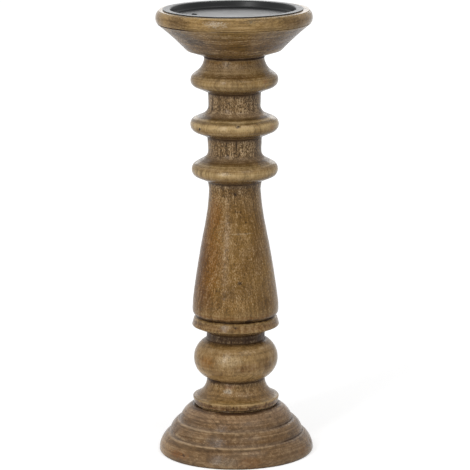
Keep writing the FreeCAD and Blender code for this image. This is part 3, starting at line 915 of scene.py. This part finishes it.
stemShape = {
    "outline": [
        (0, 54.4), (2.55, 54.4, "plain"), (2.55, 15.5, "plain"), (11.5, 15.5, "plain"),
        (12.5, 16.5, "plain"), (12.5, 37, "plain"), (30.8, 37, "plain"), (30.8, 38.3), (32.6, 38.3),
        (33.5, 42.9, "round", 0.6), (32.7, 43.7), (22.6, 56, "bow", -2.4), (22.2, 57.2), (22.6, 58.1),
        (22.6, 88.7, "bow", 10), (22.6, 94.4, "round", 1.6), (33.9, 99.4, "round", 1.1),
        (32.1, 105.5, "round", 0.6), (29.8, 107), (8.1, 107, "plain"), (8.1, 76, "plain"),
        (0, 76, "plain"),
    ],
    "rowSpacing": 0.7, "turnSteps": 330,
    "shownFrom": 20, "shownHeights": (37.5, 106.9),
    "waves": [(8, 0.4, 0.22, 0.41), (24, 1, 0.35, 0.91)],
    "dents": [(-14, 52, 24.3, 2.6, 0.25), (-0.5, 103.8, 32.6, 1.7, 0.35), (60, 75, 32, 4, 0.3),
              (160, 72, 32, 4, 0.35), (-35, 41, 33.3, 2, 0.3)],
    # Dark lines at the top joint, at the foot of the ball (stronger on its left), under the collar and
    # under the foot (strongest at the front): stain collecting there, with painted shade
    "stainAndShadeLines": [(29.8, 107, 1.9, 0.8), (22.2, 57.2, 1.5, 0.6), (22.2, 58, 4.2, 0.7, -46, 30),
                 (22.6, 91.5, 6, 0.55), (31.5, 38.3, 1.9, 0.8, 4, 40),
                 (31.5, 38.3, 1.5, 0.35)],
    # Pale lines on the edge of the foot, on the collar and over the ball: pale wear, partly painted
    # highlights
    "wearAndHighlightLines": [(33.5, 43.4, 1.7, 1.2), (33.9, 99.9, 1.6, 0.3), (32.4, 104.8, 1.4, 0.3),
               (32.6, 73, 13, 0.3)],
    "necks": [(22.6, 91, 6.5, 1.6)],
}
stemPatches = [
    band(40.2, 60, 3, (92, 50, 8), 0.85, 0.2),
    ((-3, 40.2, 33.2), (7, 4, 2.6), (48, 30, 14), 0.5),
    ((24, 40.2, 33.2), (8, 5, 2.4), (44, 28, 14), 0.7),
    band(102.6, 60, 4.4, (100, 64, 26), 0.82, 0.35),
    # Painted shade on the neck under the collar
    band(91.5, 50, 5.2, (56, 30, 6), 0.9, 0.4),
    # Painted light on the underside of the ball
    band(65, 60, 7, (196, 160, 108), 0.9, 0.3),
    band(49, 60, 5.5, (142, 108, 66), 0.35, 0.3),
    ((3.5, 106.3, 30.6), (6, 4, 1), (164, 130, 84), 0.7),
    # Painted highlight on the collar
    ((-13, 104, 32.5), (5.5, 4, 1.7), (180, 156, 122), 0.55),
    ((-0.5, 103.8, 32.6), (1.2, 2, 1), (66, 44, 24), 0.85, 0),
    ((25.5, 92, 22.6), (7, 8, 5), (44, 31, 30), 0.75),
    ((-38, 92, 22.6), (5.5, 7, 5), (56, 42, 40), 0.6),
    ((-14, 51.5, 24.6), (4.4, 4, 2), (196, 184, 164), 0.8, 0.6),
    ((-11, 55, 22.8), (5, 4, 1.8), (122, 78, 58), 0.65),
    # Painted highlight on the ball
    ((-9, 77.5, 32), (14, 9, 5.5), (192, 166, 126), 0.75, 0.5),
    ((-45, 74.5, 32.4), (10, 10, 6.5), (142, 92, 30), 0.8),
    ((15, 71.5, 32.4), (12, 8, 4.6), (104, 66, 30), 0.8, 0.9),
    ((46, 73, 32.2), (10, 10, 6), (106, 72, 34), 0.7),
    ((30, 63.5, 31), (15, 10, 6), (184, 156, 112), 0.8, 0.75, 9),
    ((-28, 66, 31.6), (11, 9, 4.5), (120, 84, 40), 0.6),
]
stemLook = {
    "fibres": (0.03, 0.02, 1), "pith": (30, 45, 0), "ringGap": 2.4, "gloss": 0.17,
    "patches": stemPatches,
    "stain": {"Golden": tone(152, 118, 68), "Brown": tone(128, 96, 54), "Pale Wear And Highlight": tone(188, 158, 110),
              "End Depth": 0.2, "Neck Depth": 0.6, "Neck Wash": 0.2, "Fleck Depth": 0.36,
              "Mottle Depth": 0.28, "Line Depth": 0.3},
}

shaftShape = {
    "outline": [
        (0, 138), (8.1, 138, "plain"), (8.1, 107, "plain"), (29.8, 107, "plain"),
        (33.3, 111, "bow", 0.9), (33.3, 113.5, "flow"), (32.2, 125, "flow"), (28.5, 150, "flow"),
        (24.9, 170, "flow"), (21.3, 190, "flow"), (19.9, 205.5, "flow"),
        (20.9, 211.48, "round", 1.6), (41.04, 219.94, "round", 6.1), (20.4, 231.39, "round", 6),
        (21, 245.72, "round", 1.6), (43.54, 255.2, "round", 6.1), (20, 265.1, "round", 7),
        (20.4, 279.7, "round", 1.6), (39.64, 287.79, "round", 6.1), (23.1, 300.25, "round", 13),
        (23.1, 306.7), (12.5, 306.7, "plain"), (12.5, 318.7, "plain"), (11.5, 319.7, "plain"),
        (2.55, 319.7, "plain"), (2.55, 288.4, "plain"), (0, 288.4, "plain"),
    ],
    "rowSpacing": 0.85, "turnSteps": 300,
    "shownFrom": 18, "shownHeights": (107.2, 306.5),
    "waves": [(8, 0.4, 0.22, 0.23), (26, 1, 0.35, 0.67)],
    "dents": [(4.5, 257.9, 31.4, 2.3, 0.55), (-51.5, 254.6, 33.5, 1.9, 0.45), (0.5, 204.5, 20, 1.8, 0.25),
              (6.5, 138.1, 30.3, 2, 0.3), (18, 109.6, 32.4, 2, 0.4), (45, 288, 33.4, 3, 0.4),
              (-100, 220, 33, 3, 0.4), (140, 255, 33.5, 3, 0.4), (100, 150, 28, 4, 0.3)],
    # Dark lines at the joints, under the taper's foot and at the foot of each ring: stain collecting there,
    # with painted shade
    "stainAndShadeLines": [(29.8, 107, 1.9, 0.8), (32, 108.8, 1.6, 0.6), (21.2, 211.5, 3.4, 0.4),
                 (21.2, 245.8, 3.4, 0.5), (20.8, 279.8, 3.4, 0.5), (23.1, 306.7, 1.6, 0.6)],
    # Pale lines on the ring rims and their upper edges, on the taper's foot and on the flare: pale wear,
    # with painted highlights
    "wearAndHighlightLines": [(33.1, 220.9, 4.4, 1), (29.3, 226.6, 3.6, 0.7), (33.2, 256.6, 4.4, 1.3),
               (29.3, 260.6, 3.6, 0.9), (33.4, 289, 3.4, 0.7), (33.3, 111.8, 2.4, 0.2),
               (26, 297, 9, 0.36)],
    "necks": [(20.2, 272.4, 9, 1.7), (20.6, 238.4, 9, 1.7), (20.5, 203, 12, 0.5)],
}
shaftPatches = [
    # Painted shade under the second and third rings, and in the groove under the taper's foot
    band(249, 60, 3.4, (90, 60, 24), 0.6, 0.4),
    band(214.5, 60, 3.2, (104, 68, 20), 0.5, 0.4),
    band(110.2, 60, 3.6, (112, 68, 12), 0.8, 0.4),
    ((-6, 300.5, 25), (18, 9, 4.5), (170, 142, 106), 0.5, 0.3),
    ((6, 294.5, 29), (17, 9, 2.2), (98, 66, 34), 0.55, 0.3),
    ((13, 289.5, 32.8), (9, 6, 3.4), (78, 58, 30), 0.65, 0.75, 10),
    ((45.5, 290.5, 32.2), (3, 4, 2.6), (140, 86, 50), 0.5),
    ((-72, 289, 33), (10, 14, 5), (100, 76, 42), 0.5, 0.4),
    ((72, 289, 33), (10, 14, 5), (100, 76, 42), 0.5, 0.4),
    # Painted highlight on the flare: a bright fleck and the broader sheen round it
    ((-10.5, 304.8, 23.1), (3.2, 3, 0.9), (186, 158, 118), 0.75),
    ((-11, 303, 23.4), (7, 4, 1.3), (164, 132, 88), 0.5),
    ((4.5, 257.9, 31.4), (3.4, 3, 1.2), (44, 28, 14), 0.95, 0),
    ((2, 260.2, 28.5), (7.5, 5, 1.3), (190, 166, 126), 0.6),
    ((-51.5, 254.6, 33.5), (1.5, 2, 1.3), (42, 28, 16), 0.95, 0),
    ((58.5, 255.3, 33.1), (3, 5, 3), (150, 94, 56), 0.5),
    # Painted highlights: on the upper right of the second ring, and on the front left of the third ring's
    # rim and on its upper right
    ((37, 260.1, 28.2), (7, 6, 0.9), (180, 150, 108), 0.6),
    ((-14, 221.8, 32.9), (9, 5, 1.5), (222, 198, 160), 0.5),
    ((35.5, 227.7, 24.9), (5, 5, 1.2), (172, 142, 100), 0.5),
    ((-54, 150, 27), (17, 20, 50), (132, 84, 18), 0.85, 0.3),
    ((-80, 150, 27), (13, 20, 52), (98, 60, 18), 0.75, 0.3),
    ((-46, 190, 22), (8, 10, 16), (140, 90, 34), 0.6, 0.3),
    ((-47, 125, 32), (8, 9, 12), (92, 54, 20), 0.6),
    ((6, 191, 21.3), (4.6, 3, 0.9), (78, 54, 28), 0.65, 0.3),
    ((14, 174.6, 24.2), (14, 6, 0.8), (184, 158, 120), 0.65, 0.4),
    ((39, 158, 27), (5, 7, 26), (92, 62, 32), 0.35, 0.5),
    ((0.5, 204.5, 20), (1.3, 2, 1.2), (56, 38, 22), 0.8, 0),
    ((1, 204.8, 20), (5, 4, 2.8), (72, 52, 28), 0.6, 0.9),
    ((6.5, 138.1, 30.3), (2.2, 3, 1.7), (52, 35, 19), 0.85, 0),
    ((6, 131, 31), (17, 9, 11), (80, 56, 28), 0.75, 0.75, 16),
    ((-5, 121, 32.5), (16, 8, 6), (170, 128, 68), 0.3),
    ((18, 108.4, 31), (3.5, 4, 1.8), (34, 22, 12), 0.95, 0),
]
shaftLook = {
    "fibres": (-0.02, 0.03, 1), "pith": (18, 52, 0), "ringGap": 2.2, "gloss": 0.17,
    "patches": shaftPatches,
    "stain": {"Golden": tone(142, 106, 50), "Brown": tone(120, 86, 38), "Pale Wear And Highlight": tone(190, 162, 114),
              "Line Depth": 0.34, "Mottle Depth": 0.14},
}


def makeTurning(name, shape, look, node):
    piece = turnPiece(name, shape)
    wearAndMark(piece, shape)
    finishPiece(piece, makeWood(name + "Wood", look), node)
    print(name, "done:", len(piece.data.polygons), "faces")


makeTurning("stem_lower", stemShape, stemLook, "lower_stem")
makeTurning("stem_shaft", shaftShape, shaftLook, "upper_shaft")


# Drip pan

panShape = {
    "outline": [
        (0, 337.2), (47.2, 337.2, "round", 2.2), (48.3, 342.2), (52.9, 342.2, "round", 0.3),
        (52.9, 343, "round", 0.3), (47.5, 343, "round", 1.2), (46.4, 338, "round", 1.4),
        (0, 338),
    ],
    "rowSpacing": 1, "turnSteps": 256,
    "shift": -0.7,
    "hole": {"radius": 1.9, "place": (-30.2, 5.5, 337.5), "depth": 6, "sides": 32},
    "hookMark": {"centre": (-30.2, 5, 338), "reach": (3, 7, 2)},
}


def makePan(shape):
    pan = turnPiece("pan_sheet", shape)
    pickOnly(pan)
    editAll()
    bpy.ops.transform.translate(value=(shape["shift"] * mm, 0, 0))
    leaveEdit()
    deselectAll()
    hole = shape["hole"]
    bpy.ops.mesh.primitive_cylinder_add(vertices=hole["sides"], radius=hole["radius"] * mm,
                                        depth=hole["depth"] * mm, location=Vector(hole["place"]) * mm)
    punch = bpy.context.object
    applyModifier(pan, "BOOLEAN", object=punch, operation="DIFFERENCE", solver="EXACT")
    bpy.data.objects.remove(punch)
    finishPiece(pan, makePaint(shape["hookMark"]), "candle_pan", "pan")
    print("pan done:", len(pan.data.polygons), "faces")


makePan(panShape)

# Hidden pieces keep their CAD shape

zinc = makeZinc()
for name in ("cup_screw", "base_screw", "base_washer"):
    dress(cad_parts[name], zinc)
dowelLook = {
    "fibres": (0, 0, 1), "pith": (40, 10, 0), "ringGap": 4, "wander": 2,
    "stain": {"Golden": tone(206, 176, 134), "Brown": tone(192, 160, 118), "Umber": tone(150, 116, 78),
              "Pale Wear And Highlight": tone(212, 184, 144), "Wash Amount": 0, "Fleck Depth": 0.1, "Mottle Depth": 0.1},
    "relief": 0.1, "gloss": 0.3,
}
dress(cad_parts["shaft_dowel"], makeWood("beechDowel", dowelLook))
print("hidden pieces done")


# Floor, light and camera

studio = {
    "floorSize": 16,
    "floorColour": (0.7, 0.7, 0.7, 1),
    "floorRoughness": 0.9,
    "lift": (0.1, 1.5, 0.59, 0.75),
    "aim": (0, 0, 0.17),
    "skyLight": 0.42,
    "softboxes": {
        "key": {"azimuth": -31, "height": 25, "distance": 2.1, "size": (0.34, 1.7), "power": 18},
        "fill": {"azimuth": 38, "height": 52, "distance": 2.3, "size": (1.1, 1), "power": 9},
        "back": {"azimuth": 178, "height": 17, "distance": 2.4, "size": (1.6, 0.7), "power": 5},
    },
}


def seenRays(tree):
    # 1 for what the camera sees, directly, in a reflection or through glass
    rays = put(tree, "ShaderNodeLightPath").outputs
    seen = larger(tree, rays["Is Camera Ray"], rays["Is Glossy Ray"])
    return larger(tree, seen, rays["Is Transmission Ray"])


def makeStudio():
    deselectAll()
    bpy.ops.mesh.primitive_plane_add(size=studio["floorSize"])
    floor = bpy.context.object
    floor.name = "floor"
    material, tree, sockets = newMaterial("paleFloor", {
        "Base Color": studio["floorColour"], "Roughness": studio["floorRoughness"],
        "Specular IOR Level": 0, "Emission Color": (1, 1, 1, 1)})
    where = put(tree, "ShaderNodeTexCoord").outputs["Object"]
    lift = remap(tree, vectorMaths(tree, "LENGTH", where), *studio["lift"])
    connect(tree, sockets, {"Emission Strength": times(tree, seenRays(tree), lift)})
    dress(floor, material)
    world = bpy.data.worlds.new("studio")
    bpy.context.scene.world = world
    world.use_nodes = True
    tree = world.node_tree
    strength = remap(tree, seenRays(tree), 0, 1, studio["skyLight"], 1)
    background = tree.nodes["Background"]
    background.inputs["Color"].default_value = (1, 1, 1, 1)
    tree.links.new(strength, background.inputs["Strength"])
    for name, box in studio["softboxes"].items():
        turn, rise = math.radians(box["azimuth"]), math.radians(box["height"])
        away = Vector((math.sin(turn) * math.cos(rise), -math.cos(turn) * math.cos(rise), math.sin(rise)))
        lamp = bpy.data.lights.new(name, "AREA")
        lamp.shape = "RECTANGLE"
        lamp.size, lamp.size_y = box["size"]
        lamp.energy = box["power"]
        holder = bpy.data.objects.new(name, lamp)
        addToScene(holder)
        holder.location = Vector(studio["aim"]) + away * box["distance"]
        holder.rotation_euler = away.to_track_quat("Z", "Y").to_euler()
    print("studio done")


# The lens in pixels of a picture that is this many pixels wide, and the angles in degrees
view = {
    "place": (-0.0001, -2.015, 0.5948), "down": 11.93, "roll": -0.30,
    "lens": 2696, "picture": 470, "sensor": 36, "farthest": 50,
}


def makeCamera():
    camera = bpy.data.objects.new("camera", bpy.data.cameras.new("camera"))
    addToScene(camera)
    bpy.context.scene.camera = camera
    camera.location = view["place"]
    camera.rotation_euler = (math.radians(90 - view["down"]), 0, 0)
    camera.rotation_euler.rotate_axis("Z", math.radians(view["roll"]))
    camera.data.lens = view["lens"] / view["picture"] * view["sensor"]
    camera.data.sensor_width = view["sensor"]
    camera.data.clip_end = view["farthest"]


makeStudio()
makeCamera()
bpy.context.scene.view_settings.view_transform = "Standard"
